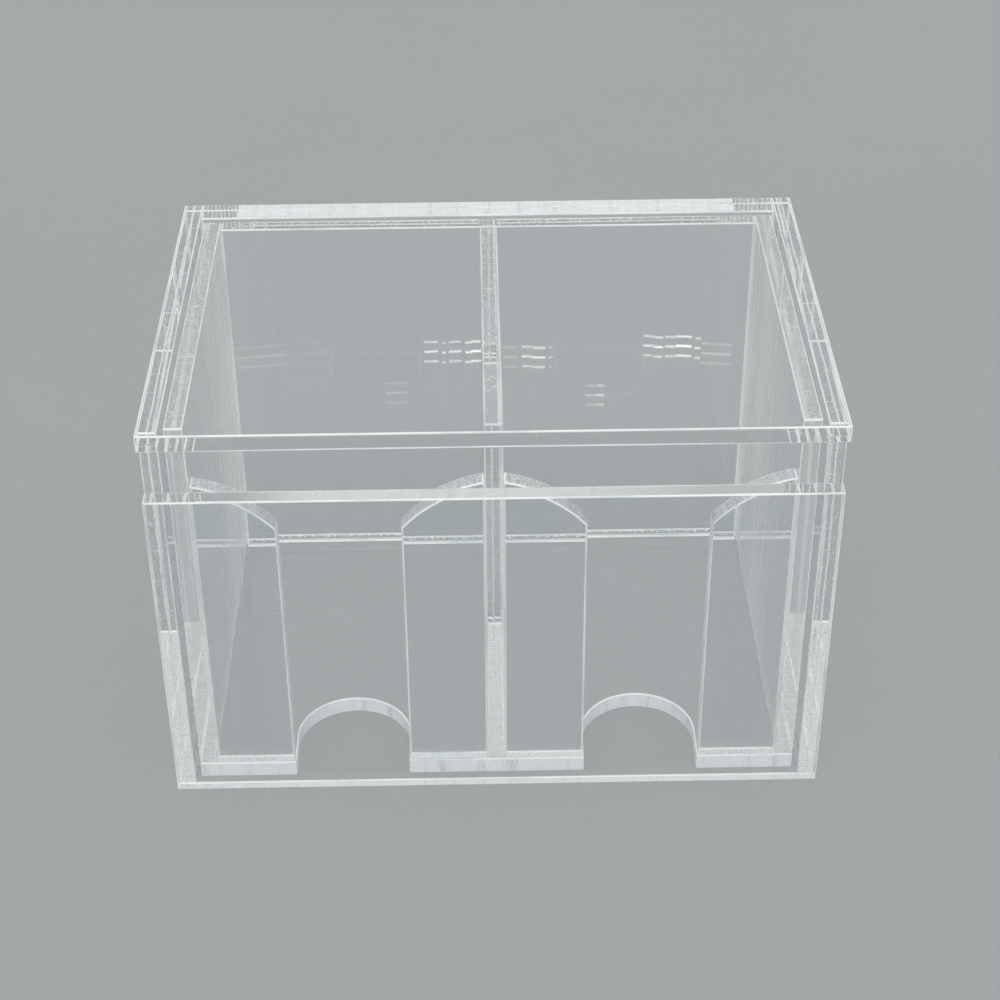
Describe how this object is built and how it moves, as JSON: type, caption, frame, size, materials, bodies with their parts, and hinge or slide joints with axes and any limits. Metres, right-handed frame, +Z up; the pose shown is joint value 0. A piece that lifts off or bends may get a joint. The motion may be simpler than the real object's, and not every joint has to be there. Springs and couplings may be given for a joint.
{
  "type": "playing card storage case",
  "caption": "Clear acrylic case for decks of playing cards: an open tray with compartments and front finger openings, under a lift-off cover with a slot.",
  "frame": {"origin": "on the table, under the middle of the cover", "axes": "+X to the right of someone facing the front, +Y to the back, +Z up; the slot and the finger openings face -Y"},
  "size_m": [0.181, 0.125, 0.12],
  "materials": {
    "cover_sheet": "polished",
    "tray_sheet": "polished"
  },
  "bodies": {
    "tray": {"tray_base_plate": "tray_sheet", "tray_left_wall": "tray_sheet", "tray_right_wall": "tray_sheet", "tray_back_wall": "tray_sheet", "tray_divider": "tray_sheet", "tray_left_outer_panel": "tray_sheet", "tray_left_inner_panel": "tray_sheet", "tray_right_inner_panel": "tray_sheet", "tray_right_outer_panel": "tray_sheet"},
    "cover": {"cover_top_plate": "cover_sheet", "cover_front_panel": "cover_sheet", "cover_left_wall": "cover_sheet", "cover_right_wall": "cover_sheet", "cover_back_wall": "cover_sheet"}
  },
  "joints": [
    {"name": "cover_lift", "type": "slide", "parent": "tray", "child": "cover", "axis": [0, 0, 1], "range_m": [0, 0.125]}
  ]
}
